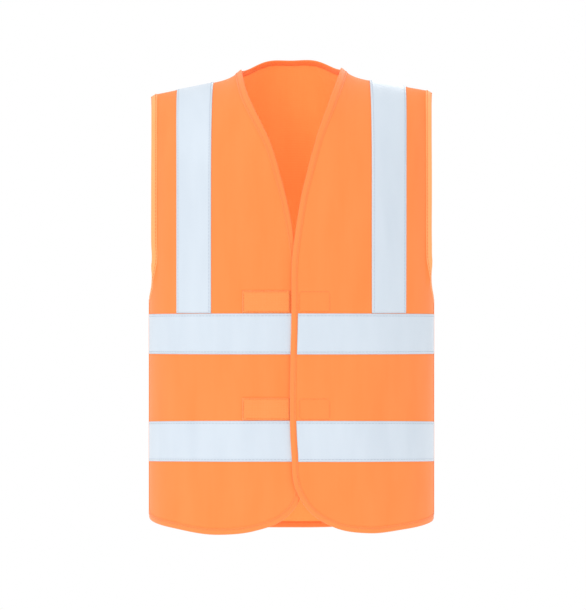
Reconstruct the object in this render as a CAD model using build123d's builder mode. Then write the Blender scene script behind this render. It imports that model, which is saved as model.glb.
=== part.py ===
from build123d import *
import os

# High visibility vest as it sits on a small adult torso, in millimetres.
# Origin: midway between the two neck points, on the centre plane, over the side
# seams. +Z is up, -Y is the wearer's front, +X is the wearer's left.

# Torso that the cloth follows: an oval in plan under a rounded roof, which slopes
# down from the neck to the end of each shoulder
HALF_WIDTH = 180.0
TOP_DEPTH = 122.0
UNDER_DEPTH = 118.5
BACK_DEPTH = 115.0
FRONT_ROOF_RADIUS = 110.0
BACK_ROOF_RADIUS = 70.0
ROOF_MARGIN = 0.7
CENTRE_RIDGE_Z = 15.0
SHOULDER_SLOPE = 0.244
FLOOR_Z = -640.0
TORSO_HEIGHT = 740.0

# Cloth, tape, binding, closures and label
CLOTH = 1.0
TAPE = 0.6
TAPE_WIDTH = 50.0
BINDING = 0.6
BINDING_WIDTH = 9.0
PATCH = 0.8
PATCH_HEIGHT = 28.0
LABEL = 0.4
LAYER_GAP = 0.05
SEAM_GAP = 0.4

# Places of the tape, the closures and the label, on the wearer's left
UPPER_BAND_Z = -359.0
LOWER_BAND_Z = -490.0
BRACE_X = (98.5, 142.0)
LOOP_X = (1.5, 60.0)
HOOK_X = (8.5, 48.0)
LABEL_X = (130.0, 160.0)
LABEL_Z = (-545.0, -495.0)

# Neck opening and cut edges, on the wearer's left
NECK_RADIUS = 61.0
V_BEND = (16.5, -146.0)
V_POINT_Z = -240.0
V_BEND_RADIUS = 300.0
TOP_EDGE_X = -1.0
UNDER_EDGE_X = -11.0
TOP_HEM_Z = -579.0
UNDER_HEM_Z = -581.0
SIDE_HEM_Z = -569.0
BACK_HEM_Z = -592.0
HEM_BEND_X = 110.0
HEM_BEND_RADIUS = 250.0
TOP_CORNER_RADIUS = 75.0
UNDER_CORNER_RADIUS = 50.0
ARMHOLE_X = 168.5
BACK_ARMHOLE_X = 178.0
SHOULDER_END_X = 179.0
SHOULDER_BEND_Z = (-60.0, -25.0)
UNDERARM_Z = -300.0
UNDERARM_RADIUS = 40.0
BACK_UNDERARM_RADIUS = 12.0

# Room outside the cloth for the solids that cut it
OUTSIDE_X = 215.0
ABOVE_Z = 70.0
REACH = 200.0
ARMHOLE_CUT_X = 140.0
ARMHOLE_CUT_Z = -330.0


def block(depth, roof_radius, out):
    """Solid torso, grown by out, with the roof that slopes down towards the wearer's left."""
    roof = Plane(origin=(0, 0, CENTRE_RIDGE_Z), x_dir=(0, 1, 0), z_dir=(1, 0, -SHOULDER_SLOPE))
    with BuildPart() as torso:
        with BuildSketch(Plane.XY.offset(FLOOR_Z)):
            Ellipse(HALF_WIDTH + out, depth + out)
        extrude(amount=TORSO_HEIGHT)
        with BuildSketch(roof) as profile:
            with Locations((0, out - TORSO_HEIGHT / 2)):
                Rectangle(2 * (depth + out + ROOF_MARGIN), TORSO_HEIGHT)
            fillet(profile.vertices().group_by(Axis.Z)[-1], roof_radius + out)
        extrude(amount=2 * OUTSIDE_X, mode=Mode.INTERSECT)
    return torso.part


def shell(depth, roof_radius, inner, outer):
    """Layer of cloth between two distances from the outer face of the torso."""
    with BuildPart() as layer:
        add(block(depth, roof_radius, outer))
        add(block(depth, roof_radius, inner), mode=Mode.SUBTRACT)
    return layer.part


def whole_back(inner, outer):
    """Layer of cloth over the whole back, as its left half and that half's mirror image."""
    with BuildPart() as layer:
        add(shell(BACK_DEPTH, BACK_ROOF_RADIUS, inner, outer))
        with Locations((REACH, 0, 0)):
            Box(2 * REACH, 2 * REACH, 2 * TORSO_HEIGHT, mode=Mode.INTERSECT)
        mirror(about=Plane.YZ)
    return layer.part


def front_outline(edge_x, hem_z, corner_radius, v_bend_x):
    """Cut shape of one front, running on past the shoulder and the side seam."""
    side_slope = (SIDE_HEM_Z - hem_z) / (HALF_WIDTH - HEM_BEND_X)
    neck_slope = (NECK_RADIUS - v_bend_x) / -V_BEND[1]
    corners = [
        ((NECK_RADIUS + neck_slope * ABOVE_Z, ABOVE_Z), 0),
        ((v_bend_x, V_BEND[1]), V_BEND_RADIUS),
        ((edge_x, V_POINT_Z), V_BEND_RADIUS),
        ((edge_x, hem_z), corner_radius),
        ((HEM_BEND_X, hem_z), HEM_BEND_RADIUS),
        ((OUTSIDE_X, SIDE_HEM_Z + side_slope * (OUTSIDE_X - HALF_WIDTH)), 0),
        ((OUTSIDE_X, UNDERARM_Z), 0),
        ((ARMHOLE_X, UNDERARM_Z), UNDERARM_RADIUS),
        ((ARMHOLE_X, SHOULDER_BEND_Z[0]), BINDING_WIDTH),
        ((SHOULDER_END_X, SHOULDER_BEND_Z[1]), 2 * BINDING_WIDTH),
        ((SHOULDER_END_X, ABOVE_Z), 0),
    ]
    return outline_through(corners)


def back_outline():
    """Cut shape of the back, running on past the shoulders and the side seams."""
    side_slope = (SIDE_HEM_Z - BACK_HEM_Z) / (HALF_WIDTH - HEM_BEND_X)
    half = [
        ((HEM_BEND_X, BACK_HEM_Z), HEM_BEND_RADIUS),
        ((OUTSIDE_X, SIDE_HEM_Z + side_slope * (OUTSIDE_X - HALF_WIDTH)), 0),
        ((OUTSIDE_X, UNDERARM_Z), 0),
        ((BACK_ARMHOLE_X, UNDERARM_Z), BACK_UNDERARM_RADIUS),
        ((BACK_ARMHOLE_X, ABOVE_Z), 0),
    ]
    other_half = [((-x, z), radius) for (x, z), radius in reversed(half)]
    return outline_through(half + other_half)


def outline_through(corners):
    """Closed shape in x and z through corners that are each rounded to a radius."""
    with BuildSketch(Plane.XZ) as outline:
        with BuildLine():
            points = [point for point, _ in corners]
            radii = [radius for _, radius in corners]
            FilletPolyline(points, radius=radii, close=True)
        make_face()
    return outline.sketch


def box_outline(x_range, z_range):
    """Rectangle in x and z."""
    (x0, x1), (z0, z1) = x_range, z_range
    with BuildSketch(Plane.XZ) as outline:
        with Locations(((x0 + x1) / 2, (z0 + z1) / 2)):
            Rectangle(x1 - x0, z1 - z0)
    return outline.sketch


def shrunk(outline, amount):
    """The outline less a margin all round."""
    with BuildSketch(Plane.XZ) as inner:
        add(outline)
        offset(amount=-amount, kind=Kind.INTERSECTION, mode=Mode.REPLACE)
    return inner.sketch


def edge_strip(outline):
    """The width of the binding along the whole outline."""
    with BuildSketch(Plane.XZ) as band:
        add(outline)
        add(shrunk(outline, BINDING_WIDTH), mode=Mode.SUBTRACT)
    return band.sketch


def cut_piece(layer, outlines, facing):
    """The part of a layer that lies inside every outline, in front of or behind the side seams."""
    start = -SEAM_GAP if facing < 0 else 0
    with BuildPart() as piece:
        add(layer)
        for outline in outlines:
            placed = outline.moved(Location((0, start, 0)))
            extrude(placed, amount=REACH, dir=(0, facing, 0), mode=Mode.INTERSECT)
    return piece.part


def neck_cut(part, radius, mode):
    """The part outside the round of the neck, or inside it."""
    with BuildPart() as piece:
        add(part)
        with BuildSketch(Plane.XY.offset(-REACH)):
            Circle(radius)
        extrude(amount=2 * REACH, mode=mode)
    return piece.part


def save(part, name, side=1):
    """Label a piece, mirrored on to the wearer's right if need be, and write its file."""
    kept = part if side > 0 else mirror(part, about=Plane.YZ)
    kept.label = name
    export_step(kept, f"parts/{name}.step")


def band_heights():
    """Name, foot and top of each band of tape."""
    return [
        ("upper", UPPER_BAND_Z, UPPER_BAND_Z + TAPE_WIDTH),
        ("lower", LOWER_BAND_Z, LOWER_BAND_Z + TAPE_WIDTH),
    ]


def brace_outline():
    """Upright of tape from the upper band to the shoulder seam."""
    return box_outline(BRACE_X, (UPPER_BAND_Z + TAPE_WIDTH + LAYER_GAP, ABOVE_Z))


def save_front(depth, outline, wearer, side, patch_name, patch_x, patch_layer):
    """Everything that one front carries: panel, bindings, tape and closures."""
    armhole_side = box_outline((ARMHOLE_CUT_X, OUTSIDE_X), (ARMHOLE_CUT_Z, ABOVE_Z))
    cloth_outline = shrunk(outline, BINDING_WIDTH + LAYER_GAP)
    cloth = shell(depth, FRONT_ROOF_RADIUS, -CLOTH, 0)
    tape = shell(depth, FRONT_ROOF_RADIUS, LAYER_GAP, LAYER_GAP + TAPE)
    fold = shell(depth, FRONT_ROOF_RADIUS, -CLOTH - BINDING, BINDING)
    closure = shell(depth, FRONT_ROOF_RADIUS, *patch_layer)
    save(cut_piece(cloth, [cloth_outline], -1), f"{wearer}_front_panel", side)
    binding = cut_piece(fold, [edge_strip(outline)], -1)
    with BuildPart() as armhole_binding:
        add(binding)
        extrude(armhole_side, amount=REACH, both=True, mode=Mode.INTERSECT)
    with BuildPart() as edge_binding:
        add(binding)
        extrude(armhole_side, amount=REACH, both=True, mode=Mode.SUBTRACT)
    save(armhole_binding.part, f"{wearer}_front_armhole_binding", side)
    save(edge_binding.part, f"{wearer}_front_edge_binding", side)
    save(cut_piece(tape, [brace_outline()], -1), f"{wearer}_front_brace_tape", side)
    for level, foot, top in band_heights():
        band = box_outline((-OUTSIDE_X, OUTSIDE_X), (foot, top))
        save(cut_piece(tape, [cloth_outline, band], -1), f"{wearer}_front_{level}_band", side)
        patch = box_outline(patch_x, (top + LAYER_GAP, top + LAYER_GAP + PATCH_HEIGHT))
        save(cut_piece(closure, [patch], -1), f"{level}_{patch_name}", side)


def save_back():
    """Everything that the back carries: panel, bindings, tape and the label."""
    outline = back_outline()
    cloth_outline = shrunk(outline, BINDING_WIDTH + LAYER_GAP)
    armhole_side = box_outline((ARMHOLE_CUT_X, OUTSIDE_X), (ARMHOLE_CUT_Z, ABOVE_Z))
    hem_part = box_outline((-OUTSIDE_X, OUTSIDE_X), (FLOOR_Z, LOWER_BAND_Z))
    cloth = whole_back(-CLOTH, 0)
    tape = whole_back(LAYER_GAP, LAYER_GAP + TAPE)
    fold = whole_back(-CLOTH - BINDING, BINDING)
    label = shell(BACK_DEPTH, BACK_ROOF_RADIUS, -CLOTH - LAYER_GAP - LABEL, -CLOTH - LAYER_GAP)
    panel = cut_piece(cloth, [cloth_outline], 1)
    save(neck_cut(panel, NECK_RADIUS + BINDING_WIDTH + LAYER_GAP, Mode.SUBTRACT), "back_panel")
    collar = neck_cut(fold, NECK_RADIUS + BINDING_WIDTH, Mode.INTERSECT)
    above_yoke = box_outline((-OUTSIDE_X, OUTSIDE_X), (-REACH / 2, ABOVE_Z))
    save(neck_cut(cut_piece(collar, [above_yoke], 1), NECK_RADIUS, Mode.SUBTRACT), "back_neck_binding")
    band_along_edge = edge_strip(outline)
    save(cut_piece(fold, [band_along_edge, hem_part], 1), "back_hem_binding")
    armhole_binding = cut_piece(fold, [band_along_edge, armhole_side], 1)
    brace = cut_piece(tape, [brace_outline()], 1)
    for wearer, side in (("left", 1), ("right", -1)):
        save(armhole_binding, f"{wearer}_back_armhole_binding", side)
        save(brace, f"{wearer}_back_brace_tape", side)
    for level, foot, top in band_heights():
        save(cut_piece(tape, [box_outline((-OUTSIDE_X, OUTSIDE_X), (foot, top))], 1), f"back_{level}_band")
    save(cut_piece(label, [box_outline(LABEL_X, LABEL_Z)], 1), "care_label")


os.makedirs("parts", exist_ok=True)
top_outline = front_outline(TOP_EDGE_X, TOP_HEM_Z, TOP_CORNER_RADIUS, V_BEND[0])
under_outline = front_outline(UNDER_EDGE_X, UNDER_HEM_Z, UNDER_CORNER_RADIUS, V_BEND[0] - BINDING_WIDTH)
hook_layer = (-CLOTH - LAYER_GAP - PATCH, -CLOTH - LAYER_GAP)
loop_layer = (LAYER_GAP, LAYER_GAP + PATCH)
save_front(TOP_DEPTH, top_outline, "left", 1, "hook_patch", HOOK_X, hook_layer)
save_front(UNDER_DEPTH, under_outline, "right", -1, "loop_patch", LOOP_X, loop_layer)
save_back()
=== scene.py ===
"""High visibility vest: cloth, tape, bindings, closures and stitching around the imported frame."""

import logging
import math
from dataclasses import dataclass, field
from enum import Enum

import bpy
import numpy as np
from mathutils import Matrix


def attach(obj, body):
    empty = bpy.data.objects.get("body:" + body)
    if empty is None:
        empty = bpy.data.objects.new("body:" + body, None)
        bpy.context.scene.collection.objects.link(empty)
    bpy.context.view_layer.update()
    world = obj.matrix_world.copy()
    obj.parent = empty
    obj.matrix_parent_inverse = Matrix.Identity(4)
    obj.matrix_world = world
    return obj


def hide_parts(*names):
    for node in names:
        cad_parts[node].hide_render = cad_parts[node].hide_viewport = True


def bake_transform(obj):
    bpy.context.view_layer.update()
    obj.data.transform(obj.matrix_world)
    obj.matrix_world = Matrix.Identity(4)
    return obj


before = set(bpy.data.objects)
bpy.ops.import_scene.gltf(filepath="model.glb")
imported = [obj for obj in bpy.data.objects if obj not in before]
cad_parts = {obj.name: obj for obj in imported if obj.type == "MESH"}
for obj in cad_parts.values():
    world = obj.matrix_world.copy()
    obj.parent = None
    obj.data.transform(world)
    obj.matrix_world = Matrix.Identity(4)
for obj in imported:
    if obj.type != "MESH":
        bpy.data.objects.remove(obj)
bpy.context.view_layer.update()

MM = 0.001
TINY = 1e-12
STEP = 0.002
DOWN, UP, INWARD, OUTWARD = (0.0, -1.0), (0.0, 1.0), (-1.0, 0.0), (1.0, 0.0)
LOG = logging.getLogger("vest")
Array = np.ndarray
Points = tuple[tuple[float, float], ...]
Rows = list[tuple[Array, float]]


class Facing(Enum):
    """Which way a side of the vest faces, as the sign of y."""

    FRONT = -1
    BACK = 1


class Level(Enum):
    """A band of tape, by the node that holds it."""

    UPPER = "upper"
    LOWER = "lower"


def smooth(value: Array) -> Array:
    """Ease from 0 to 1 as the value goes from 0 to 1."""
    t = np.clip(value, 0.0, 1.0)
    return t * t * (3 - 2 * t)


def ridge_height(x: Array) -> Array:
    """Height of the shoulder line, which slopes to the shoulder's end and rises into the neck.

    Args:
        x: Places across the vest, in metres.

    Returns:
        The height of the shoulder line at each place, in metres.
    """
    level, rounding, slope, lean = 0.0183, 0.020, 0.185, 0.014
    rise, spread, power = 0.0458, 0.0560, 3.33
    end, drop, reach = 0.171, 0.003, 0.010
    across = np.abs(x)
    neck = rise * np.exp(-((across / spread) ** power))
    line = lean * x + slope * (level - np.hypot(x, rounding)) + neck
    return line - drop * smooth((across - end) / reach)


@dataclass
class Torso:
    """The worn shape of one side of the vest, laid out flat as places (s, q).

    s is the distance round the body from the centre plane, and q is the height above the
    spring line, in metres on the upright wall and by the angle of the shoulder's arch above it.
    Each fold is its size, its width, where it starts as an angle, and how far it leans.
    flare_x is where the edge of the armhole starts to turn flat to the front.
    """

    depth: float
    squareness: float
    facing: Facing
    half_width: float
    spring: float = -0.140
    gap: float = 0.00002
    turns: int = 2000
    flare_x: float | None = None
    flare_width: float = 0.0085
    flare_q: tuple[float, float] = (-0.148, -0.095)
    flare_reach: float = 0.98
    flare_slope: float = 0.18
    flare_lean: float = 0.05
    hang_start: float = 0.06
    hang_length: float = 0.42
    folds: tuple[tuple[float, float, float, float], ...] = ()

    def __post_init__(self) -> None:
        """Measure the plan of the body once, as tables of distance against x and y."""
        angle = np.linspace(0, math.pi / 2, self.turns)
        sine, cosine = np.sin(angle), np.abs(np.cos(angle))
        size = (sine / self.half_width) ** self.squareness + (cosine / self.depth) ** self.squareness
        size = size ** (-1 / self.squareness)
        self.plan_x, self.plan_y = size * sine, size * cosine
        self.plan_y[-1] = 0.0
        steps = np.hypot(np.diff(self.plan_x), np.diff(self.plan_y))
        self.plan_s = np.concatenate([[0.0], np.cumsum(steps)])

    @property
    def seam(self) -> float:
        """Distance round the body from the centre to the side seam."""
        return float(self.plan_s[-1])

    @property
    def ridge_q(self) -> float:
        """Height of the shoulder line as a place."""
        return -self.spring * math.pi / 2

    def around(self, x: Array) -> Array:
        """Distance round the body of the place at each x."""
        return np.sign(x) * np.interp(np.abs(x), self.plan_x, self.plan_s)

    def place(self, x: float, z: float) -> tuple[float, float]:
        """The place of a point on the cloth.

        Args:
            x: Where the point is across the vest, in metres.
            z: How high it is, in metres.

        Returns:
            Its distance round the body and its height.
        """
        s = float(self.around(np.array(x)))
        if self.flare_x and x > self.flare_x and z - self.spring > self.flare_q[1]:
            s = float(self.around(np.array(self.flare_x))) + x - self.flare_x
        if z <= self.spring:
            return s, z - self.spring
        sine = min(1.0, (z - self.spring) / float(ridge_height(np.array(x)) - self.spring))
        return s, -self.spring * math.asin(sine)

    def flared(self, reach: Array, q: Array, x: Array, y: Array) -> tuple[Array, Array]:
        """Turn the edge of an armhole flat to the front, above the underarm.

        Args:
            reach: Distances round the body, all positive.
            q: Heights.
            x: Places across the body without the flare.
            y: Depths without the flare.

        Returns:
            The places across and the depths with the flare.
        """
        first = float(self.around(np.array(self.flare_x)))
        past = np.maximum(reach - first, 0.0)
        flat = np.minimum(past, self.flare_width)
        round_corner = np.maximum(past - self.flare_width, 0.0)
        flat_x = self.flare_x + self.flare_reach * flat + self.flare_lean * round_corner
        flat_y = np.interp(first, self.plan_s, self.plan_y) - self.flare_slope * flat - round_corner
        low, high = self.flare_q
        share = smooth((q - low) / (high - low)) * (past > 0)
        return x * (1 - share) + flat_x * share, y * (1 - share) + flat_y * share

    def bare(self, s: Array, q: Array) -> Array:
        """Points of the body's smooth form at places.

        Args:
            s: Distances round the body.
            q: Heights.

        Returns:
            Points with the shape of s and a last axis of x, y and z.
        """
        reach = np.minimum(np.abs(s), self.seam)
        x = np.interp(reach, self.plan_s, self.plan_x)
        y = np.interp(reach, self.plan_s, self.plan_y)
        if self.flare_x:
            x, y = self.flared(reach, q, x, y)
        x = np.sign(s) * x
        rise = np.clip(q / -self.spring, 0, math.pi / 2)
        arch = (ridge_height(x) - self.spring) * np.sin(rise)
        z = self.spring + np.where(q <= 0, q, arch)
        return np.stack([x, self.facing.value * (y * np.cos(rise) + self.gap), z], axis=-1)

    def fold(self, point: Array) -> Array:
        """How far soft folds push the cloth in or out.

        Args:
            point: Points with a last axis of x, y and z.

        Returns:
            The distance outwards at each point, in metres.
        """
        x, z = point[..., 0], point[..., 2]
        hang = smooth((-z - self.hang_start) / self.hang_length)
        edge = 1 - (np.abs(x) / self.half_width) ** 6
        total = np.zeros_like(x)
        for size, width, start, lean in self.folds:
            total = total + size * np.sin(2 * math.pi * (x + lean * z) / width + start)
        return total * hang * edge

    def point(self, s: Array, q: Array, out: Array | float = 0.0) -> Array:
        """Points of the cloth at places, moved out from its outer face.

        Args:
            s: Distances round the body.
            q: Heights.
            out: How far outside the outer face, in metres.

        Returns:
            Points with the shape of s and a last axis of x, y and z.
        """
        step = 0.0008
        s = np.clip(s, -self.seam, self.seam)
        q = np.minimum(q, self.ridge_q)
        before, after = (np.clip(s + move, -self.seam, self.seam) for move in (-step, step))
        across = self.bare(after, q) - self.bare(before, q)
        up = self.bare(s, np.minimum(q + step, self.ridge_q)) - self.bare(s, q - step)
        normal = np.cross(across, up) * -self.facing.value
        normal = normal / np.maximum(np.linalg.norm(normal, axis=-1, keepdims=True), TINY)
        here = self.bare(s, q)
        lift = np.broadcast_to(np.asarray(out, float), s.shape) + self.fold(here)
        return here + normal * lift[..., None]


def curve_through(points: list[tuple[float, float]], step: float) -> Array:
    """Places evenly spaced along a smooth curve through a few places.

    Args:
        points: The places that the curve passes through.
        step: The spacing along the curve, in metres.

    Returns:
        The places as rows of s and q.
    """
    samples_each = 60
    p = np.array(points, float)
    knots = lengths(p)
    slope = np.gradient(p, knots, axis=0)
    t = np.linspace(0, knots[-1], samples_each * len(p))
    i = np.clip(np.searchsorted(knots, t, side="right") - 1, 0, len(p) - 2)
    h = (knots[i + 1] - knots[i])[:, None]
    u = (t - knots[i])[:, None] / h
    line = (2 * u**3 - 3 * u**2 + 1) * p[i] + (u**3 - 2 * u**2 + u) * h * slope[i]
    line = line + (3 * u**2 - 2 * u**3) * p[i + 1] + (u**3 - u**2) * h * slope[i + 1]
    return spaced(line, step)


def lengths(line: Array) -> Array:
    """How far along a line each of its places is."""
    return np.concatenate([[0.0], np.cumsum(np.hypot(*np.diff(line, axis=0).T))])


def read_at(at: Array, along: Array, values: Array) -> Array:
    """Pairs of values known along a line, at other distances along it."""
    return np.stack([np.interp(at, along, values[:, k]) for k in (0, 1)], axis=-1)


def counted(line: Array, count: int) -> Array:
    """The same line with a number of evenly spaced places."""
    along = lengths(line)
    return read_at(np.linspace(0, along[-1], count), along, line)


def spaced(line: Array, step: float) -> Array:
    """The same line with places about a step apart."""
    return counted(line, max(2, round(lengths(line)[-1] / step) + 1))


def sideways(line: Array) -> Array:
    """Unit directions to the left of a line.

    Args:
        line: Places as rows of s and q.

    Returns:
        The direction at each place.
    """
    ahead = np.gradient(line, axis=0)
    ahead = ahead / np.maximum(np.hypot(*ahead.T)[:, None], TINY)
    return np.stack([-ahead[:, 1], ahead[:, 0]], axis=1)


def filled(left: Array, right: Array, bottom: Array, top: Array) -> Array:
    """Grid of places inside four edges.

    Args:
        left: Edge where each row starts, from the bottom up.
        right: Edge where each row ends, from the bottom up.
        bottom: First row.
        top: Last row.

    Returns:
        Places as rows by columns by (s, q).
    """
    v = np.linspace(0, 1, len(left))[:, None, None]
    u = np.linspace(0, 1, len(bottom))[None, :, None]
    grid = (1 - v) * bottom[None] + v * top[None] + (1 - u) * left[:, None] + u * right[:, None]
    low = (1 - u) * bottom[0] + u * bottom[-1]
    high = (1 - u) * top[0] + u * top[-1]
    return grid - (1 - v) * low - v * high


def new_object(name: str, points: Array, faces: list[tuple[int, ...]], uv: Array) -> bpy.types.Object:
    """Make a mesh object with a flat layout of the cloth as its UV map.

    Args:
        name: The piece's name.
        points: Corner points, in metres.
        faces: Corner indices of each face.
        uv: Flat place of each corner point, in metres.

    Returns:
        The new object, linked to the scene.
    """
    mesh = bpy.data.meshes.new(name)
    mesh.from_pydata(points.reshape(-1, 3).tolist(), [], faces)
    layer = mesh.uv_layers.new(name="cloth")
    corners = np.zeros(len(mesh.loops), np.int32)
    mesh.loops.foreach_get("vertex_index", corners)
    layer.data.foreach_set("uv", uv.reshape(-1, 2)[corners].astype(np.float32).ravel())
    mesh.polygons.foreach_set("use_smooth", np.ones(len(mesh.polygons), bool))
    obj = bpy.data.objects.new(name, mesh)
    bpy.context.scene.collection.objects.link(obj)
    return obj


def closed_sheet(name: str, outer: Array, inner: Array, uv: Array) -> bpy.types.Object:
    """Make a closed sheet of cloth from its outer and inner faces.

    Args:
        name: The piece's name.
        outer: Outer points, rows by columns by 3.
        inner: Inner points, the same shape.
        uv: Flat places, rows by columns by 2.

    Returns:
        The sheet.
    """
    rows, columns = outer.shape[:2]
    index = np.arange(rows * columns).reshape(rows, columns)
    a, b, c, d = index[:-1, :-1], index[:-1, 1:], index[1:, 1:], index[1:, :-1]
    front = np.stack([a, b, c, d], axis=-1).reshape(-1, 4)
    rim = np.concatenate([index[0, :], index[1:, -1], index[-1, -2::-1], index[-2:0:-1, 0]])
    after = np.roll(rim, -1)
    size = rows * columns
    rim_faces = np.stack([after, rim, rim + size, after + size], axis=-1)
    faces = np.concatenate([front, front[:, ::-1] + size, rim_faces])
    obj = new_object(name, np.concatenate([outer.reshape(-1, 3), inner.reshape(-1, 3)]), faces.tolist(),
                     np.concatenate([uv.reshape(-1, 2)] * 2))
    fix_normals(obj)
    return obj


def swept(name: str, rings: Array, uv: Array) -> bpy.types.Object:
    """Make a closed tube from rings of points, capped at both ends.

    Args:
        name: The piece's name.
        rings: Points, rings by corners by 3.
        uv: Flat places, rings by corners by 2.

    Returns:
        The tube.
    """
    count, corners = rings.shape[:2]
    index = np.arange(count * corners).reshape(count, corners)
    turned = np.roll(index, -1, axis=1)
    sides = np.stack([index[:-1], turned[:-1], turned[1:], index[1:]], axis=-1).reshape(-1, 4).tolist()
    obj = new_object(name, rings, sides + [index[0, ::-1].tolist(), index[-1].tolist()], uv)
    fix_normals(obj)
    return obj


def fix_normals(obj: bpy.types.Object) -> None:
    """Turn the faces of a closed mesh outwards.

    Args:
        obj: The piece, whose faces all turn the same way.
    """
    mesh = obj.data
    mesh.calc_loop_triangles()
    points = np.zeros(len(mesh.vertices) * 3, np.float32)
    mesh.vertices.foreach_get("co", points)
    triangles = np.zeros(len(mesh.loop_triangles) * 3, np.int32)
    mesh.loop_triangles.foreach_get("vertices", triangles)
    a, b, c = (points.reshape(-1, 3)[triangles.reshape(-1, 3)[:, k]].astype(float) for k in range(3))
    if float((a * np.cross(b, c)).sum()) < 0:
        mesh.flip_normals()


def fixed_ends(line: Array, start: tuple[float, float], end: tuple[float, float]) -> Array:
    """Directions to the left of a line that lie along a seam where the line starts and ends.

    Args:
        line: Places as rows of s and q.
        start: The direction at the start.
        end: The direction at the end.

    Returns:
        The direction at each place.
    """
    left = sideways(line)
    along = lengths(line)
    reach = 0.010
    first = (1 - smooth(along / reach))[:, None]
    last = (1 - smooth((along[-1] - along) / reach))[:, None]
    left = left * (1 - first) * (1 - last) + np.array(start) * first + np.array(end) * last
    return left / np.maximum(np.hypot(*left.T)[:, None], TINY)


@dataclass
class Edge:
    """A cut edge of cloth, as places along it and the directions into the cloth.

    turn is 1 where the cloth lies to the left of the line, and -1 where it lies to the right.
    """

    line: Array
    turn: int
    start: tuple[float, float]
    end: tuple[float, float]
    into: Array = field(init=False)

    def __post_init__(self) -> None:
        """Work out the directions into the cloth."""
        self.into = self.turn * fixed_ends(self.line, self.start, self.end)

    def moved_in(self, width: float) -> Array:
        """The edge's line moved into the cloth by a width."""
        return self.line + self.into * width


def linear(code: str) -> tuple[float, float, float, float]:
    """Turn an sRGB colour to linear.

    Args:
        code: The hex code, such as #FFAA00.

    Returns:
        Linear red, green and blue, and alpha 1.
    """
    parts = [int(code[i:i + 2], 16) / 255 for i in (1, 3, 5)]
    red, green, blue = (c / 12.92 if c <= 0.04045 else ((c + 0.055) / 1.055) ** 2.4 for c in parts)
    return red, green, blue, 1.0


def add_node(tree: bpy.types.NodeTree, kind: str, inputs: dict | None = None,
             **settings: object) -> bpy.types.Node:
    """Add a node.

    Args:
        tree: The material's node tree.
        kind: Blender's name for the kind of node.
        inputs: Value, or socket to link from, for each input by name or number.
        **settings: The node's own settings.

    Returns:
        The new node.
    """
    new = tree.nodes.new(kind)
    for name, value in settings.items():
        setattr(new, name, value)
    for key, value in (inputs or {}).items():
        if isinstance(value, bpy.types.NodeSocket):
            tree.links.new(value, new.inputs[key])
        else:
            new.inputs[key].default_value = value
    return new


def band_scale(spacing: float) -> float:
    """Scale of a Wave texture that gives bands a spacing apart, in metres."""
    return 2 * math.pi / 20 / spacing


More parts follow.
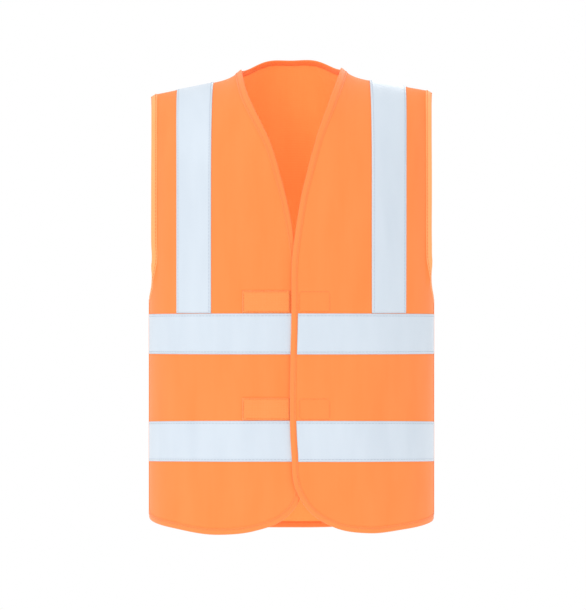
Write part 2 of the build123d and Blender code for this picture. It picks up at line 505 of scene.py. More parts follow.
@dataclass(frozen=True)
class ClothFinish:
    """A textile finish: two close colours, and a height pattern of rows laid along the cloth.

    across and along are the spacings of the rows, and depth is their relief, all in metres.
    glow is painted light, an emission that lifts and evens the shading for the dye's fluorescence and the
    light that the beads turn back, and contrast is how much the rows tint the colour.
    """

    name: str
    colour: str
    shade: str
    across: float
    along: float
    depth: float
    roughness: float
    sheen: float
    glow: float
    contrast: float
    specular: float = 0.25

    def material(self) -> bpy.types.Material:
        """Make the material, or give the one that was made before.

        Returns:
            The material.
        """
        if self.name in bpy.data.materials:
            return bpy.data.materials[self.name]
        material = bpy.data.materials.new(self.name)
        material.use_nodes = True
        tree = material.node_tree
        tree.nodes.clear()
        flat = add_node(tree, "ShaderNodeUVMap", uv_map="cloth").outputs["UV"]
        wales = self.rows(tree, flat, self.across, "X", 0.6)
        courses = self.rows(tree, flat, self.along, "Y", 0.9)
        rows = add_node(tree, "ShaderNodeMath", {0: wales, 1: courses}, operation="MULTIPLY").outputs[0]
        ramp = self.tones(tree, flat, rows)
        bump = add_node(tree, "ShaderNodeBump", {"Height": rows, "Strength": 0.7, "Distance": self.depth})
        shader = add_node(tree, "ShaderNodeBsdfPrincipled", {
            "Base Color": ramp, "Normal": bump.outputs["Normal"], "Roughness": self.roughness,
            "Sheen Weight": self.sheen, "Sheen Roughness": 0.5, "Specular IOR Level": self.specular,
            "Emission Color": linear(self.colour), "Emission Strength": self.glow})
        add_node(tree, "ShaderNodeOutputMaterial", {"Surface": shader.outputs["BSDF"]})
        return material

    def rows(self, tree: bpy.types.NodeTree, flat: bpy.types.NodeSocket, spacing: float, direction: str,
             wander: float) -> bpy.types.NodeSocket:
        """Add the pattern of one set of rows.

        Args:
            tree: The material's node tree.
            flat: Where each point lies on the flat cloth.
            spacing: Distance between rows, in metres.
            direction: Axis that the rows follow each other along.
            wander: How unevenly the rows run.

        Returns:
            The height of the rows, from 0 to 1.
        """
        inputs = {"Vector": flat, "Scale": band_scale(spacing), "Distortion": wander, "Detail": 1.0}
        return add_node(tree, "ShaderNodeTexWave", inputs, bands_direction=direction).outputs["Fac"]

    def tones(self, tree: bpy.types.NodeTree, flat: bpy.types.NodeSocket,
              rows: bpy.types.NodeSocket) -> bpy.types.NodeSocket:
        """Add the colour, which varies in soft upright clouds and a little with the rows.

        Args:
            tree: The material's node tree.
            flat: Where each point lies on the flat cloth.
            rows: The height of the rows.

        Returns:
            The colour.
        """
        drawn = add_node(tree, "ShaderNodeMapping", {"Vector": flat, "Scale": (1.0, 0.22, 1.0)})
        clouds = add_node(tree, "ShaderNodeTexNoise",
                          {"Vector": drawn.outputs["Vector"], "Scale": 38.0, "Detail": 2.0})
        fine = add_node(tree, "ShaderNodeMath", {0: rows, 1: self.contrast}, operation="MULTIPLY")
        mix = add_node(tree, "ShaderNodeMath", {0: clouds.outputs["Fac"], 1: 0.5, 2: fine.outputs[0]},
                       operation="MULTIPLY_ADD")
        ramp = add_node(tree, "ShaderNodeValToRGB", {"Fac": mix.outputs[0]})
        ramp.color_ramp.elements[0].color = linear(self.shade)
        ramp.color_ramp.elements[0].position = 0.1
        ramp.color_ramp.elements[1].color = linear(self.colour)
        ramp.color_ramp.elements[1].position = 0.45
        return ramp.outputs["Color"]


# Warp-knit polyester dyed fluorescent orange: even and matt. Its soft glow is painted light that evens the
# shading, standing in for the dye's fluorescence. Its wales are about 1 mm apart, drawn at 1.6 mm so that
# they still show.
TRICOT = ClothFinish(
    "warp_knit_polyester_orange", "#F68949", "#F1803E", across=1.6 * MM, along=1.3 * MM, depth=0.12 * MM,
    roughness=0.85, sheen=0.10, glow=0.10, contrast=0.30)
# The back of the same knit, where the longer loops float: softer than its face. Its paler colour and
# stronger glow are painted light, lifting the shade inside the vest.
REVERSE_PAINTED_LIGHT = ClothFinish(
    "warp_knit_polyester_reverse_painted_light", "#FFAC61", "#FBA055", across=1.6 * MM, along=2.6 * MM, depth=0.16 * MM,
    roughness=0.95, sheen=0.10, glow=0.12, contrast=0.30)
# Ribbed polyester binding, folded and pressed: a little smoother than the cloth. Its ribs are about 1 mm
# apart, drawn at 2.2 mm.
BINDING = ClothFinish(
    "folded_rib_binding_orange", "#F58A49", "#EE8040", across=2.2 * MM, along=1.8 * MM, depth=0.18 * MM,
    roughness=0.70, sheen=0.20, glow=0.08, contrast=0.40)
# The same binding cut across the cloth for the armholes, so that it stretches. Its paler colour and
# stronger glow are painted light, for the light that the rolled edge at the outline catches at a grazing
# angle.
ARMHOLE_BINDING_PAINTED_LIGHT = ClothFinish(
    "folded_bias_binding_orange_painted_light", "#FAAA6C", "#F79B5C", across=2.2 * MM, along=1.8 * MM, depth=0.18 * MM,
    roughness=0.70, sheen=0.20, glow=0.12, contrast=0.40)
# Glass beads bonded to cloth with an aluminium backing: a pale silver that turns light back, with a fine
# grain. The beads are 0.06 mm, drawn as a 1.1 mm grain.
# Its glow is painted light, standing in for the light that the beads turn back.
TAPE = ClothFinish(
    "glass_bead_reflective_tape", "#C8D2DC", "#BDC8D3", across=1.1 * MM, along=1.1 * MM, depth=0.08 * MM,
    roughness=0.38, sheen=0.0, glow=0.10, contrast=0.30, specular=0.5)
# Napped nylon loop of a hook and loop fastener: soft and matt. Its loops are about 0.5 mm, drawn at 2 mm.
LOOP = ClothFinish(
    "napped_nylon_loop_orange", "#F79150", "#F18745", across=1.9 * MM, along=2.1 * MM, depth=0.45 * MM,
    roughness=0.95, sheen=0.35, glow=0.10, contrast=0.60)
# Moulded nylon hooks in close rows, 1.6 mm apart: stiffer, darker and glossier than the loop.
HOOK = ClothFinish(
    "moulded_nylon_hook_orange", "#EE8240", "#D96F2E", across=1.6 * MM, along=2.4 * MM, depth=0.60 * MM,
    roughness=0.50, sheen=0.0, glow=0.05, contrast=0.80, specular=0.5)
# White polyester satin: smooth and faintly glossy along its threads, which are 0.1 mm and drawn at 0.8 mm.
SATIN = ClothFinish(
    "woven_satin_white", "#F1F1EE", "#E6E6E2", across=0.8 * MM, along=1.6 * MM, depth=0.04 * MM,
    roughness=0.35, sheen=0.1, glow=0.0, contrast=0.20, specular=0.5)
# Spun polyester sewing thread, dyed to match, twisted so that its sides catch the light.
ORANGE_THREAD = ClothFinish(
    "spun_polyester_thread_orange", "#F48748", "#EC7D3E", across=0.9 * MM, along=0.9 * MM, depth=0.10 * MM,
    roughness=0.6, sheen=0.2, glow=0.06, contrast=0.3)
GREY_THREAD = ClothFinish(
    "spun_polyester_thread_grey", "#C0CCD8", "#B2BECB", across=0.9 * MM, along=0.9 * MM, depth=0.10 * MM,
    roughness=0.6, sheen=0.2, glow=0.0, contrast=0.3)


@dataclass(frozen=True)
class StudioPaper:
    """White studio paper: quite matt, with a faint tooth."""

    name: str = "matt_white_studio_paper"
    colour: str = "#FAFAFA"
    glow: float = 0.25

    def material(self) -> bpy.types.Material:
        """Make the paper's material.

        Returns:
            The material.
        """
        material = bpy.data.materials.new(self.name)
        material.use_nodes = True
        tree = material.node_tree
        tree.nodes.clear()
        place = add_node(tree, "ShaderNodeTexCoord").outputs["Object"]
        tooth = add_node(tree, "ShaderNodeTexNoise", {"Vector": place, "Scale": 300.0}).outputs["Fac"]
        bump = add_node(tree, "ShaderNodeBump", {"Height": tooth, "Strength": 0.1, "Distance": 0.0005})
        shader = add_node(tree, "ShaderNodeBsdfPrincipled", {
            "Base Color": linear(self.colour), "Roughness": 1.0, "Normal": bump.outputs["Normal"],
            "Specular IOR Level": 0.0, "Emission Color": linear(self.colour),
            "Emission Strength": self.glow})
        add_node(tree, "ShaderNodeOutputMaterial", {"Surface": shader.outputs["BSDF"]})
        return material


@dataclass
class Sewing:
    """Shared sizes of the sewn work, and the pieces made with them, in metres."""

    cloth: float = 0.0010
    tape: float = 0.0006
    patch: float = 0.0006
    label: float = 0.0004
    rest: float = 0.0002
    binding: float = 0.0006
    binding_width: float = 0.0078
    grain: float = 0.003
    stitch: float = 0.0036
    stitch_pitch: float = 0.0044
    thread: float = 0.00032
    tape_margin: float = 0.0028
    binding_row: float = 0.0060
    patch_row: float = 0.0014
    tuck: float = 0.0012
    seam_width: float = 0.008

    @property
    def inside(self) -> float:
        """Level of a binding's surface inside the vest."""
        return -self.cloth - self.binding

    def sheet(self, name: str, torso: Torso, grid: Array, side: int, top: float,
              thick: float) -> bpy.types.Object:
        """Make a closed sheet that lies on the vest.

        Args:
            name: The piece's name.
            torso: The side of the vest that it lies on.
            grid: Places, rows by columns by 2.
            side: 1, or -1 to mirror the places.
            top: How far its outer face is outside the cloth's outer face.
            thick: Its thickness.

        Returns:
            The sheet.
        """
        s, q = side * grid[..., 0], grid[..., 1]
        outer, inner = (torso.point(s, q, level) for level in (top, top - thick))
        return closed_sheet(name, outer, inner, np.stack([s, q], axis=-1))

    def bound_edge(self, name: str, torso: Torso, edge: Edge, side: int) -> bpy.types.Object:
        """Make a binding folded over a cut edge of the cloth.

        Args:
            name: The piece's name.
            torso: The side of the vest that it lies on.
            edge: The cut edge.
            side: 1, or -1 to mirror the places.

        Returns:
            The binding.
        """
        under, wide, thick = self.cloth, self.binding_width, self.binding
        # From the outer edge round the fold to the inner one, and back between the leaves.
        section = np.array([
            (wide, 0.00005), (wide, 0.6 * thick), (wide - 0.0006, thick), (0.6 * wide, thick * 1.05),
            (0.0014, thick * 1.1), (0.0003, thick * 0.5), (0.0, -0.5 * under),
            (0.0003, -under - thick * 0.5), (0.0014, -under - thick * 1.1),
            (0.6 * wide, -under - thick * 1.05), (wide - 0.0006, -under - thick),
            (wide, -under - 0.6 * thick), (wide, -under - 0.00005), (0.0016, -under - 0.00005),
            (0.0010, -0.5 * under), (0.0016, 0.00005)])
        places = edge.line[:, None] + edge.into[:, None] * section[None, :, :1]
        out = np.broadcast_to(section[None, :, 1], places.shape[:2])
        s, q = side * places[..., 0], places[..., 1]
        across, along = section[None, :, 0], lengths(edge.line)[:, None]
        uv = np.stack([np.broadcast_to(size, s.shape) for size in (across, along)], axis=-1)
        return swept(name, torso.point(s, q, out), uv)

    def stitches(self, name: str, torso: Torso, rows: Rows, side: int) -> bpy.types.Object:
        """Make rows of stitches as short bowed lengths of thread.

        Args:
            name: The piece's name.
            torso: The side of the vest that they lie on.
            rows: Each row's places, and how far its surface is outside the cloth's outer face.
            side: 1, or -1 to mirror the places.

        Returns:
            All the stitches as one object.
        """
        swell = np.array([0.45, 0.9, 1.0, 0.9, 0.45])
        turn = np.linspace(0, 2 * math.pi, 6, endpoint=False)
        flatness, lift, fine_step, first_gap = 1.25, 0.55, 0.0006, 0.001
        across = self.thread * flatness * swell[:, None] * np.cos(turn)[None]
        raised = self.thread * swell[:, None] * (lift + np.sin(turn)[None])
        points, flat = [], []
        for row, level in rows:
            fine = spaced(row, fine_step)
            along = lengths(fine)
            starts = np.arange(first_gap, along[-1] - self.stitch, self.stitch_pitch)
            at = starts[:, None] + np.linspace(0, 1, len(swell))[None] * self.stitch
            centre, normal = (read_at(at, along, values) for values in (fine, sideways(fine)))
            places = centre[:, :, None] + normal[:, :, None] * across[None, ..., None]
            s, q = side * places[..., 0], places[..., 1]
            sign = -1 if level < 0 else 1
            points.append(torso.point(s, q, level + sign * np.broadcast_to(raised[None], s.shape)))
            flat.append(np.stack([s, q], axis=-1))
        rings, uv = np.concatenate(points), np.concatenate(flat)
        count, long, corners = rings.shape[:3]
        index = np.arange(long * corners).reshape(long, corners)
        turned = np.roll(index, -1, axis=1)
        one = np.stack([index[:-1], turned[:-1], turned[1:], index[1:]], axis=-1).reshape(-1, 4)
        shift = np.arange(count)[:, None] * long * corners
        sides = (one[None] + shift[:, None]).reshape(-1, 4).tolist()
        first, last = ((end[None] + shift).tolist() for end in (index[0, ::-1], index[-1]))
        obj = new_object(name, rings, sides + first + last, uv)
        fix_normals(obj)
        return obj

    def outline_rows(self, grid: Array) -> list[Array]:
        """Lay out the four rows of stitches inside the edge of a patch.

        Args:
            grid: The patch's places.

        Returns:
            The places of each row.
        """
        (s0, q0), (s1, q1) = grid[0, 0] + self.patch_row, grid[-1, -1] - self.patch_row
        corners = [(s0, q0), (s1, q0), (s1, q1), (s0, q1), (s0, q0)]
        return [spaced(np.array(pair), STEP) for pair in zip(corners, corners[1:])]


def block_grid(s0: float, s1: float, q0: float, q1: float, step: float) -> Array:
    """Lay out places over a rectangle.

    Args:
        s0: Where it starts round the body.
        s1: Where it ends round the body.
        q0: Its lower height.
        q1: Its upper height.
        step: About how far apart the places are.

    Returns:
        Places, rows by columns by 2.
    """
    columns, rows = (max(3, round(abs(size) / step) + 1) for size in (s1 - s0, q1 - q0))
    s, q = np.meshgrid(np.linspace(s0, s1, columns), np.linspace(q0, q1, rows))
    return np.stack([s, q], axis=-1)


def area_of(grid: Array) -> float:
    """Flat area of a grid of places, in square metres."""
    a, b = grid[1:, 1:] - grid[:-1, :-1], grid[1:, :-1] - grid[:-1, 1:]
    return float(np.abs(a[..., 0] * b[..., 1] - a[..., 1] * b[..., 0]).sum() / 2)


@dataclass
class Piece:
    """A finished piece, with the slot of its finish and the node that it replaces."""

    obj: bpy.types.Object
    slot: str
    node: str | None = None


@dataclass
class Side:
    """One side of the vest: its cloth, and what is sewn to it.

    Outline points are in millimetres. Those of the underarm are measured back from the side seam.
    """

    name: str
    torso: Torso
    sewing: Sewing
    side: int = 1
    band_z: dict[Level, float] = field(
        default_factory=lambda: {Level.UPPER: -0.359, Level.LOWER: -0.490})
    side_drop: dict[Level, float] = field(
        default_factory=lambda: {Level.UPPER: 0.0015, Level.LOWER: 0.0070})
    tape_width: float = 0.050
    tape_gap: float = 0.0003
    brace_x: float = 0.0985
    shoulder_spread: float = 0.0035
    shoulder_x: float = 0.1785
    underarm_points: Points = ()
    armhole_points: Points = ()
    panel_rows: int = 210
    panel_columns: int = 84
    pieces: list[Piece] = field(default_factory=list)
    flat_area: float = field(init=False, default=0.0)

    def height(self, z: float) -> float:
        """Place height of a level on the upright wall."""
        return z - self.torso.spring

    def from_centre(self, x: float) -> float:
        """Distance round the body of the place at x."""
        return float(self.torso.around(np.array(x)))

    def places(self, points: Points) -> list[tuple[float, float]]:
        """Places of outline points."""
        return [self.torso.place(x * MM, z * MM) for x, z in points]

    def armhole(self) -> Edge:
        """Lay out the cut edge of the armhole, from the side seam to the shoulder.

        Returns:
            The edge.
        """
        torso = self.torso
        foot = [(torso.seam - back * MM, self.height(z * MM)) for back, z in self.underarm_points]
        end = torso.place(self.shoulder_x, float(ridge_height(np.array(self.shoulder_x))))[0]
        line = foot + self.places(self.armhole_points) + [(end, torso.ridge_q)]
        return Edge(curve_through(line, STEP), 1, DOWN, INWARD)

    def add(self, obj: bpy.types.Object, finish: ClothFinish, slot: str,
            node: str | None = None) -> bpy.types.Object:
        """Dress a piece and keep it.

        Args:
            obj: The piece.
            finish: What it is made of.
            slot: The slot of its finish.
            node: The node that it replaces, if it does.

        Returns:
            The piece.
        """
        obj.data.materials.append(finish.material())
        if node:
            obj.name = obj.data.name = f"sewn_{node}"
        self.pieces.append(Piece(obj, slot, node))
        LOG.info("built %s with %d faces", obj.name, len(obj.data.polygons))
        return obj

    def lay(self, name: str, grid: Array, finish: ClothFinish, slot: str, top: float,
            thick: float) -> bpy.types.Object:
        """Lay a flat piece on the cloth and dress it."""
        obj = self.sewing.sheet(name, self.torso, grid, self.side, top, thick)
        return self.add(obj, finish, slot, name)

    def bind(self, name: str, edge: Edge, finish: ClothFinish,
             side: int | None = None) -> bpy.types.Object:
        """Fold a binding over an edge and dress it."""
        obj = self.sewing.bound_edge(name, self.torso, edge, self.side if side is None else side)
        return self.add(obj, finish, "orange_binding", name)

    def bound_rows(self, *edges: Edge) -> Rows:
        """Rows of stitches through bindings, outside and inside the vest, with their levels."""
        levels = (self.sewing.binding, self.sewing.inside)
        return [(edge.moved_in(self.sewing.binding_row), level) for edge in edges for level in levels]

    def panel(self, grid: Array) -> bpy.types.Object:
        """Make the panel of cloth, whose inner face shows the back of the knit.

        Args:
            grid: Its places.

        Returns:
            The panel.
        """
        panel = self.lay(f"{self.name}_panel", grid, TRICOT, "orange_cloth", 0.0, self.sewing.cloth)
        count = (grid.shape[0] - 1) * (grid.shape[1] - 1)
        index = np.zeros(len(panel.data.polygons), np.int32)
        index[count:2 * count] = 1
        panel.data.materials.append(REVERSE_PAINTED_LIGHT.material())
        panel.data.polygons.foreach_set("material_index", index)
        self.flat_area = area_of(grid)
        return panel

    def tape(self, name: str, grid: Array, upright: bool, mirror: Array | float = 1.0) -> Rows:
        """Lay a length of tape on the cloth.

        Args:
            name: Its name.
            grid: Its places, before they are mirrored.
            upright: Whether its long edges stand upright.
            mirror: What its places are multiplied by.

        Returns:
            The rows of stitches near its long edges, with their levels.
        """
        top = self.sewing.rest + self.sewing.tape
        self.lay(name, grid * mirror, TAPE, "reflective_tape", top, self.sewing.tape)
        lines = grid.swapaxes(0, 1) if upright else grid
        margin = self.sewing.tape_margin * np.array([1.0, 0.0] if upright else [0.0, 1.0])
        return [((lines[0] + margin) * mirror, top), ((lines[-1] - margin) * mirror, top)]

    def sew(self, orange_rows: Rows, grey_rows: Rows) -> None:
        """Stitch what was laid to the cloth.

        Args:
            orange_rows: The rows in orange thread, with their levels.
            grey_rows: The rows in grey thread, with their levels.
        """
        for word, rows, thread, slot in (("orange", orange_rows, ORANGE_THREAD, "orange_binding"),
                                         ("grey", grey_rows, GREY_THREAD, "reflective_tape")):
            obj = self.sewing.stitches(f"{self.name}_{word}_stitches", self.torso, rows, self.side)
            self.add(obj, thread, slot)

    def hung(self, grid: Array, level: Level) -> Array:
        """Let a band hang a little lower towards the side seam.

        Args:
            grid: The band's places.
            level: Which band it is.

        Returns:
            The lowered places.
        """
        depth = np.interp(np.abs(grid[..., 0]), self.torso.plan_s, self.torso.plan_y) / self.torso.depth
        drop = self.side_drop[level] * (1 - depth)
        return np.stack([grid[..., 0], grid[..., 1] - drop], axis=-1)

    def brace_grid(self) -> Array:
        """Lay out the brace of tape, from the upper band up to the shoulder.

        Returns:
            Its places.
        """
        start = self.from_centre(self.brace_x)
        low = self.height(self.band_z[Level.UPPER] + self.tape_width) + self.tape_gap
        grid = block_grid(start, start + self.tape_width, low, self.torso.ridge_q, self.sewing.grain)
        spread = self.shoulder_spread * smooth(grid[..., 1] / self.torso.ridge_q)
        grid[..., 0] += spread * (grid[..., 0] - start) / self.tape_width
        return grid


@dataclass
class FrontSide(Side):
    """A front of the vest: cloth, bindings, brace, two bands and two closure patches."""

    edge_points: Points = ()
    corner: tuple[float, float] = (0.024, -0.553)
    neck_x: float = 0.064
    patch_x: tuple[float, float] = (0.0, 0.0)
    patch_height: float = 0.028
    patch_gap: float = 0.0006
    hook: bool = False
    band_rows: int = 15
    band_columns: int = 90

    def build(self) -> bpy.types.Object:
        """Build every piece of this front.

        Returns:
            The panel of cloth.
        """
        neck = (self.from_centre(self.neck_x), self.torso.ridge_q)
        edge = Edge(curve_through(self.places(self.edge_points) + [neck], STEP), -1, DOWN, INWARD)
        hole = self.armhole()
        panel = self.panel(self.panel_grid(edge, hole))
        self.bind(f"{self.name}_edge_binding", edge, BINDING)
        self.bind(f"{self.name}_armhole_binding", hole, ARMHOLE_BINDING_PAINTED_LIGHT)
        orange_rows = self.bound_rows(edge, hole)
        grey_rows = self.tape(f"{self.name}_brace_tape", self.brace_grid(), True)
        for level in self.band_z:
            band = self.hung(self.band_grid(edge, level), level)
            grey_rows += self.tape(f"{self.name}_{level.value}_band", band, False)
            orange_rows += self.patch(level)
        self.sew(orange_rows, grey_rows)
        return panel

    def panel_grid(self, edge: Edge, hole: Edge) -> Array:
        """Lay out the panel, whose cut edges lie in the folds of the bindings.

        Args:
            edge: The cut edge of the hem, the front and the V.
            hole: The cut edge of the armhole.

        Returns:
            Its places.
        """
        rows, columns = self.panel_rows, self.panel_columns
        inner, opening = edge.moved_in(self.sewing.tuck), hole.moved_in(self.sewing.tuck)
        bend = int(np.argmin(np.hypot(*(inner - np.array(self.torso.place(*self.corner))).T)))
        seam = spaced(np.array([inner[0], opening[0]]), STEP)
        right = np.concatenate([seam, opening[1:]])
        top = counted(np.array([inner[-1], opening[-1]]), columns)
        hem = counted(inner[:bend + 1][::-1], columns)
        return filled(counted(inner[bend:], rows), counted(right, rows), hem, top)

    def band_grid(self, edge: Edge, level: Level) -> Array:
        """Lay out a band, from the front binding to the side seam.

        Args:
            edge: The cut edge, whose first third is the hem.
            level: Which band it is.

        Returns:
            Its places.
        """
        inner = edge.moved_in(self.sewing.binding_width + self.sewing.rest)
        upright = inner[len(inner) // 3:]
        bottom = self.height(self.band_z[level])
        heights = np.linspace(bottom, bottom + self.tape_width, self.band_rows)
        columns = np.linspace(0, 1, self.band_columns)
        start = np.interp(heights, upright[:, 1], upright[:, 0])
        s = start[:, None] * (1 - columns) + self.torso.seam * columns
        return np.stack([s, np.broadcast_to(heights[:, None], s.shape)], axis=-1)

    def patch(self, level: Level) -> Rows:
        """Lay the closure's patch above a band.

        Args:
            level: Which band it is.

        Returns:
            The rows of stitches round it, with their levels.
        """
        sewing = self.sewing
        start, stop = (self.from_centre(x) for x in self.patch_x)
        bottom = self.height(self.band_z[level] + self.tape_width)
        grid = block_grid(start, stop, bottom + self.patch_gap, bottom + self.patch_height, sewing.grain)
        kind, finish = ("hook", HOOK) if self.hook else ("loop", LOOP)
        top = -sewing.cloth - sewing.rest if self.hook else sewing.rest + sewing.patch
        self.lay(f"{level.value}_{kind}_patch", grid, finish, "hook_and_loop", top, sewing.patch)
        return [(row, 0.0 if self.hook else top) for row in sewing.outline_rows(grid)]


@dataclass
class BackSide(Side):
    """The back of the vest: cloth, bindings, two braces, two bands and the care label."""

    hem_points: Points = ()
    neck_radii: tuple[float, float] = (0.064, 0.060)
    neck_places: int = 121
    seam_radius: float = 0.0012
    seam_out: float = 0.0002
    seam_rings: int = 90
    seam_corners: int = 10
    seam_tip: float = 0.35
    seam_taper: float = 0.003
    label_x: tuple[float, float] = (0.130, 0.160)
    label_z: tuple[float, float] = (-0.545, -0.495)

    def neck_line(self) -> Array:
        """Lay out the neck's cut, from the wearer's right shoulder to the left.

        Returns:
            Its places.
        """
        torso = self.torso
        turn = np.linspace(math.pi, 0, self.neck_places)
        x, y = self.neck_radii[0] * np.cos(turn), self.neck_radii[1] * np.sin(turn)
        depth = np.interp(np.abs(torso.around(x)), torso.plan_s, torso.plan_y)
        q = -torso.spring * np.arccos(np.clip(y / depth, 0, 1))
        return spaced(np.stack([torso.around(x), q], axis=1), STEP)

    def build(self) -> bpy.types.Object:
        """Build every piece of the back.

        Returns:
            The panel of cloth.
        """
        torso, sewing = self.torso, self.sewing
        hole = self.armhole()
        hem = Edge(curve_through(self.places(self.hem_points), STEP), 1, UP, UP)
        neck = Edge(self.neck_line(), -1, OUTWARD, INWARD)
        panel = self.panel(self.panel_grid(hole, hem, neck))
        self.bind("back_neck_binding", neck, BINDING)
        self.bind("back_hem_binding", hem, BINDING)
        orange_rows, grey_rows = self.bound_rows(neck, hem), []
        under = -sewing.cloth - sewing.rest
        for word, side in (("left", 1), ("right", -1)):
            mirror = np.array([side, 1.0])
            self.bind(f"{word}_back_armhole_binding", hole, ARMHOLE_BINDING_PAINTED_LIGHT, side)
            orange_rows += [(row * mirror, level) for row, level in self.bound_rows(hole)]
            for kind, seam in self.seam_grids(hole, hem, neck).items():
                name = f"{word}_{kind}_seam"
                self.add(sewing.sheet(name, torso, seam * mirror, 1, under, sewing.cloth), BINDING,
                         "orange_binding")
            self.add(self.seam_cord(f"{word}_seam_cord", side, hem, hole), BINDING, "orange_binding")
            grey_rows += self.tape(f"{word}_back_brace_tape", self.brace_grid(), True, mirror)
        for level, low in self.band_z.items():
            bottom = self.height(low)
            band = block_grid(-torso.seam, torso.seam, bottom, bottom + self.tape_width, sewing.grain)
            grey_rows += self.tape(f"back_{level.value}_band", self.hung(band, level), False)
        start, stop = (self.from_centre(x) for x in self.label_x)
        low, high = (self.height(z) for z in self.label_z)
        label = block_grid(start, stop, low, high, STEP)
        self.lay("care_label", label, SATIN, "label_cloth", sewing.inside + sewing.rest, sewing.label)
        self.sew(orange_rows, grey_rows)
        return panel

    def seam_cord(self, name: str, side: int, hem: Edge, hole: Edge) -> bpy.types.Object:
        """Make the rolled seam that joins the front and the back, on the line where they turn.

        Args:
            name: The piece's name.
            side: 1 for the wearer's left, or -1 for the right.
            hem: The cut edge at the foot.
            hole: The cut edge of the armhole.

        Returns:
            The rolled seam.
        """
        low, high = hem.line[-1, 1] + self.torso.spring, hole.line[0, 1] + self.torso.spring
        levels = np.linspace(low + self.seam_radius, high - self.seam_radius, self.seam_rings)
        turn = np.linspace(0, 2 * math.pi, self.seam_corners, endpoint=False)
        from_end = np.minimum(levels - levels[0], levels[-1] - levels)
        swell = np.minimum(1.0, self.seam_tip + from_end / self.seam_taper)
        radius = self.seam_radius * swell[:, None]
        x = side * (self.torso.half_width + self.seam_out + radius * np.cos(turn))
        y = radius * np.sin(turn)
        z = np.broadcast_to(levels[:, None], x.shape)
        around = np.broadcast_to(self.seam_radius * turn, x.shape)
        return swept(name, np.stack([x, y, z], axis=-1), np.stack([around, z], axis=-1))

    def seam_grids(self, hole: Edge, hem: Edge, neck: Edge) -> dict[str, Array]:
        """Lay out the overlocked seam allowances inside the side and the shoulder.

        Args:
            hole: The cut edge of the armhole.
            hem: The cut edge at the foot.
            neck: The cut edge of the neck.

        Returns:
            The places of each, by the seam's name.
        """
        torso, wide = self.torso, self.sewing.seam_width
        low, high = hem.line[-1, 1] + wide, hole.line[0, 1] - wide
        side = block_grid(torso.seam - wide, torso.seam, low, high, STEP)
        start, stop = neck.line[-1, 0] + wide, hole.line[-1, 0] - wide
        shoulder = block_grid(start, stop, torso.ridge_q - wide, torso.ridge_q, STEP)
        return {"side": side, "shoulder": shoulder}

    def panel_grid(self, hole: Edge, hem: Edge, neck: Edge) -> Array:
        """Lay out the panel, whose cut edges lie in the folds of the bindings.

        Args:
            hole: The cut edge of the armhole.
            hem: The cut edge at the foot.
            neck: The cut edge of the neck.

        Returns:
            Its places.
        """
        opening, bottom, collar = (edge.moved_in(self.sewing.tuck) for edge in (hole, hem, neck))
        rows, columns = self.panel_rows, self.panel_columns
        mirror = np.array([-1.0, 1.0])
        right = np.concatenate([spaced(np.array([bottom[-1], opening[0]]), STEP), opening[1:]])
        shoulder = spaced(np.array([collar[-1], opening[-1]]), STEP)
        top = np.concatenate([(shoulder * mirror)[::-1], collar[1:-1], shoulder])
        left, right = counted(right * mirror, rows), counted(right, rows)
        return filled(left, right, counted(bottom, columns), counted(top, columns))


@dataclass(frozen=True)
class Studio:
    """Plain pale floor, soft light and the camera."""

    eye: tuple[float, float, float] = (0.0019, -3.0, -0.2987)
    lens: float = 139.3
    floor_z: float = -0.88
    floor_radius: float = 0.95
    floor_corners: int = 96

    def build(self) -> None:
        """Build the floor, the lights, the white surroundings and the camera."""
        scene = bpy.context.scene
        turn = np.linspace(0, 2 * math.pi, self.floor_corners, endpoint=False)
        rim = np.stack([self.floor_radius * np.cos(turn), self.floor_radius * np.sin(turn),
                        np.full_like(turn, self.floor_z)], axis=-1)
        mesh = bpy.data.meshes.new("studio_floor")
        mesh.from_pydata(rim.tolist(), [], [tuple(range(self.floor_corners))])
        floor = bpy.data.objects.new("studio_floor", mesh)
        scene.collection.objects.link(floor)
        mesh.materials.append(StudioPaper().material())
        world = bpy.data.worlds.new("white_surroundings")
        scene.world = world
        world.use_nodes = True
        world.node_tree.nodes["Background"].inputs["Color"].default_value = (1, 1, 1, 1)
        world.node_tree.nodes["Background"].inputs["Strength"].default_value = 1.0
        self.lamp("upper_left_softbox", (-1.5, -2.2, 1.4), 1.4, 22.0)
        self.lamp("back_softbox", (0.8, 2.4, 1.2), 1.6, 14.0)
        view = bpy.data.cameras.new("camera")
        view.sensor_width = 36.0
        view.lens = self.lens
        camera = bpy.data.objects.new("camera", view)
        camera.location = self.eye
        camera.rotation_euler = (math.pi / 2, 0, 0)
        scene.collection.objects.link(camera)
        scene.camera = camera
        scene.view_settings.view_transform = "Standard"

    def lamp(self, name: str, place: tuple[float, float, float], size: float, power: float) -> None:
        """Add a square soft light that faces the middle of the vest.

        Args:
            name: Its name.
            place: Where it stands, in metres.
            size: The length of its side, in metres.
            power: Its power, in watts.
        """
        data = bpy.data.lights.new(name, "AREA")
        data.size = size
        data.energy = power
        lamp = bpy.data.objects.new(name, data)
        lamp.location = place
        aim = np.array((0.0, 0.0, -0.3)) - np.array(place)
        lamp.rotation_euler = (math.acos(-aim[2] / np.linalg.norm(aim)), 0, math.atan2(-aim[0], aim[1]))
        bpy.context.scene.collection.objects.link(lamp)


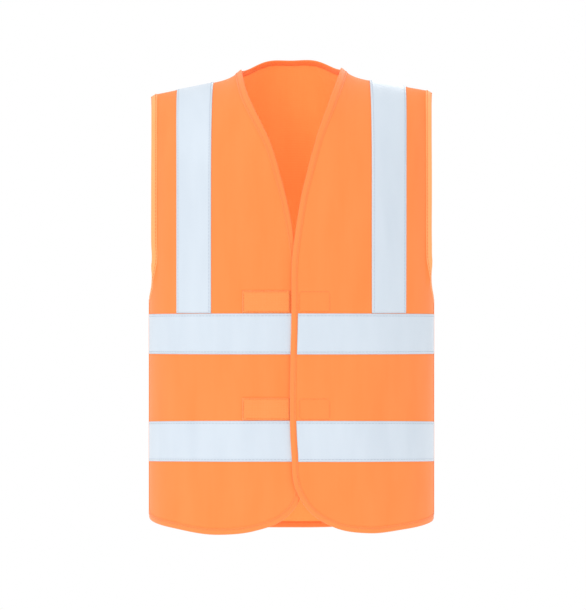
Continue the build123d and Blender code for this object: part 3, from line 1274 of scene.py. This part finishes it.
# Outline points in millimetres: x and z, or for an underarm the distance from the side seam and z.
LEFT_EDGE = ((180, -569), (140, -576), (95, -578.5), (55, -571.5), (24, -553), (4, -521), (0, -480),
             (0, -300), (0.5, -245), (5.5, -204), (16.5, -146), (27.5, -104), (45, -52), (58, -15))
RIGHT_EDGE = ((180, -567), (150, -575), (90, -580.5), (45, -575), (10, -561), (-8, -541), (-12, -500),
              (-10, -300), (-7, -245), (-1.5, -205), (8, -160), (14, -138), (25.5, -100), (37.5, -74),
              (47, -54), (54.5, -36), (61, -12))
FRONT_UNDERARM = ((0, -288), (12, -286.5), (25, -279), (36, -264), (43, -244))
BACK_UNDERARM = ((0, -288), (9, -287), (18, -281), (25, -268), (28.5, -250))
FRONT_ARMHOLE = ((176, -220), (176, -160), (176, -90), (176.6, -55))
HALF_WIDTH = 0.180
FLARE_X = 0.168
BACK_ARMHOLE = ((178.6, -220), (178.6, -160), (178.6, -80), (178.6, -50))
BACK_HEM = ((-180, -568), (-140, -581), (-80, -590), (0, -592), (80, -590), (140, -581), (180, -568))
FRONT_FOLDS = ((0.0009, 0.150, 0.4, 0.10), (0.0005, 0.083, 1.9, -0.16))
BACK_FOLDS = ((0.0014, 0.135, 0.9, 0.08), (0.0007, 0.071, 2.6, -0.12))


def main() -> None:
    """Build the vest in order, fix each piece to its body and report it."""
    logging.basicConfig(level=logging.INFO, format="%(message)s")
    sewing = Sewing()
    left_torso, right_torso = (
        Torso(depth, 2.2, Facing.FRONT, HALF_WIDTH, flare_x=FLARE_X, folds=FRONT_FOLDS)
        for depth in (0.1220, 0.1185))
    back_torso = Torso(0.1150, 2.8, Facing.BACK, HALF_WIDTH, folds=BACK_FOLDS)
    back = BackSide("back", back_torso, sewing, armhole_points=BACK_ARMHOLE, hem_points=BACK_HEM,
                    underarm_points=BACK_UNDERARM, panel_columns=170)
    right = FrontSide("right_front", right_torso, sewing, side=-1, edge_points=RIGHT_EDGE,
                      armhole_points=FRONT_ARMHOLE, corner=(0.010, -0.561), patch_x=(0.0015, 0.060),
                      underarm_points=FRONT_UNDERARM)
    left = FrontSide("left_front", left_torso, sewing, edge_points=LEFT_EDGE,
                     armhole_points=FRONT_ARMHOLE, patch_x=(0.0085, 0.048), hook=True,
                     underarm_points=FRONT_UNDERARM)
    for part in (back, right, left):
        panel = part.build()
        for piece in part.pieces:
            if part is back:
                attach(piece.obj, "back")
            else:
                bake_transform(piece.obj)
            if piece.node:
                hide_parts(piece.node)
        LOG.info("%s has a flat area of %.4f square metres", panel.name, part.flat_area)
    Studio().build()


if __name__ == "__main__":
    main()
